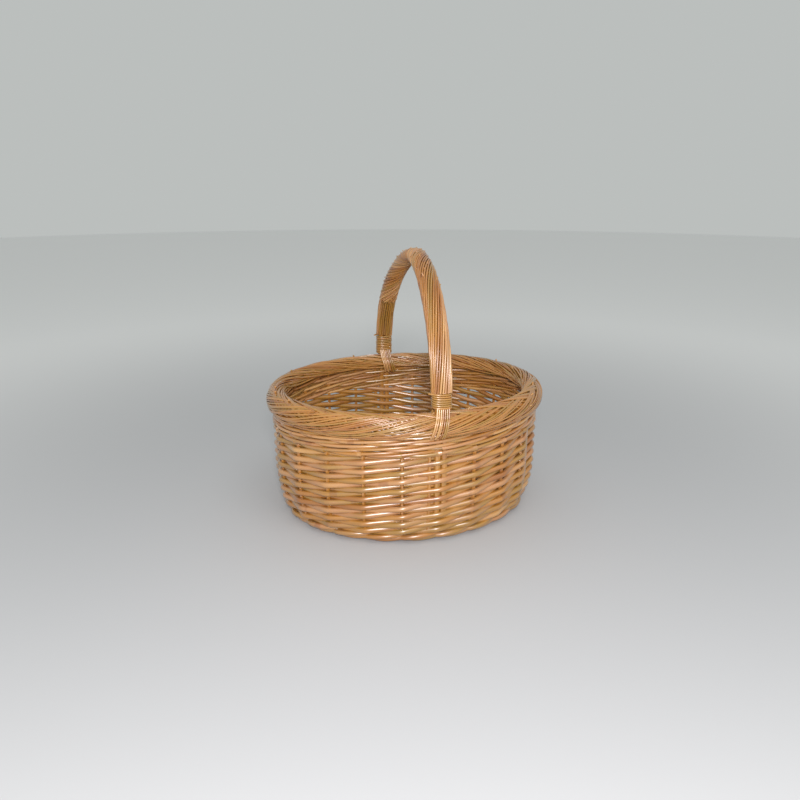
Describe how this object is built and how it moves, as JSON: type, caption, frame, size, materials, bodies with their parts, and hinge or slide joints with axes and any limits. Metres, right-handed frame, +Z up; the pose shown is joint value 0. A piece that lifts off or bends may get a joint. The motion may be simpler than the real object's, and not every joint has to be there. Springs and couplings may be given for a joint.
{
  "type": "woven market basket",
  "caption": "Oval willow shopping basket with a randed wall, plaited border and a fixed bow handle wrapped in fine rods.",
  "frame": {"origin": "under the middle of the oval, on the surface the basket stands on", "axes": "+Z up, X along the oval's long axis, and the handle arches from the front, -Y, to the back, +Y"},
  "size_m": [0.4, 0.3492, 0.3695],
  "materials": {
    "stake_willow": "peeled willow, varnished, satin",
    "stick_willow": "peeled willow, matt",
    "bow_willow": "peeled willow, varnished, satin",
    "wale_willow": "peeled willow, varnished, glossy",
    "siding_willow": "peeled willow, varnished, glossy",
    "base_willow": "peeled willow, satin",
    "border_willow": "peeled willow, varnished, glossy",
    "binding_willow": "peeled willow, varnished, glossy",
    "roping_willow": "peeled willow, varnished, glossy"
  },
  "bodies": {
    "root": {"base_cross_stick_1": "stick_willow", "base_cross_stick_2": "stick_willow", "base_cross_stick_3": "stick_willow", "base_cross_stick_4": "stick_willow", "base_cross_stick_5": "stick_willow", "base_cross_stick_6": "stick_willow", "base_long_stick_1": "stick_willow", "base_long_stick_2": "stick_willow", "base_long_stick_3": "stick_willow", "base_weave": "base_willow", "border": "border_willow", "foot_wale": "wale_willow", "handle_binding_back": "binding_willow", "handle_binding_front": "binding_willow", "handle_bow_left": "bow_willow", "handle_bow_right": "bow_willow", "handle_roping": "roping_willow", "handle_stake_back": "stake_willow", "handle_stake_front": "stake_willow", "roping_ends_back_inner": "roping_willow", "roping_ends_back_outer": "roping_willow", "roping_ends_front_inner": "roping_willow", "roping_ends_front_outer": "roping_willow", "side_stake_01": "stake_willow", "side_stake_02": "stake_willow", "side_stake_03": "stake_willow", "side_stake_04": "stake_willow", "side_stake_05": "stake_willow", "side_stake_06": "stake_willow", "side_stake_07": "stake_willow", "side_stake_08": "stake_willow", "side_stake_09": "stake_willow", "side_stake_10": "stake_willow", "side_stake_11": "stake_willow", "side_stake_12": "stake_willow", "side_stake_13": "stake_willow", "side_stake_14": "stake_willow", "side_stake_15": "stake_willow", "side_stake_16": "stake_willow", "side_stake_17": "stake_willow", "side_stake_18": "stake_willow", "side_stake_19": "stake_willow", "side_stake_20": "stake_willow", "siding": "siding_willow", "top_wale": "wale_willow"}
  },
  "joints": []
}
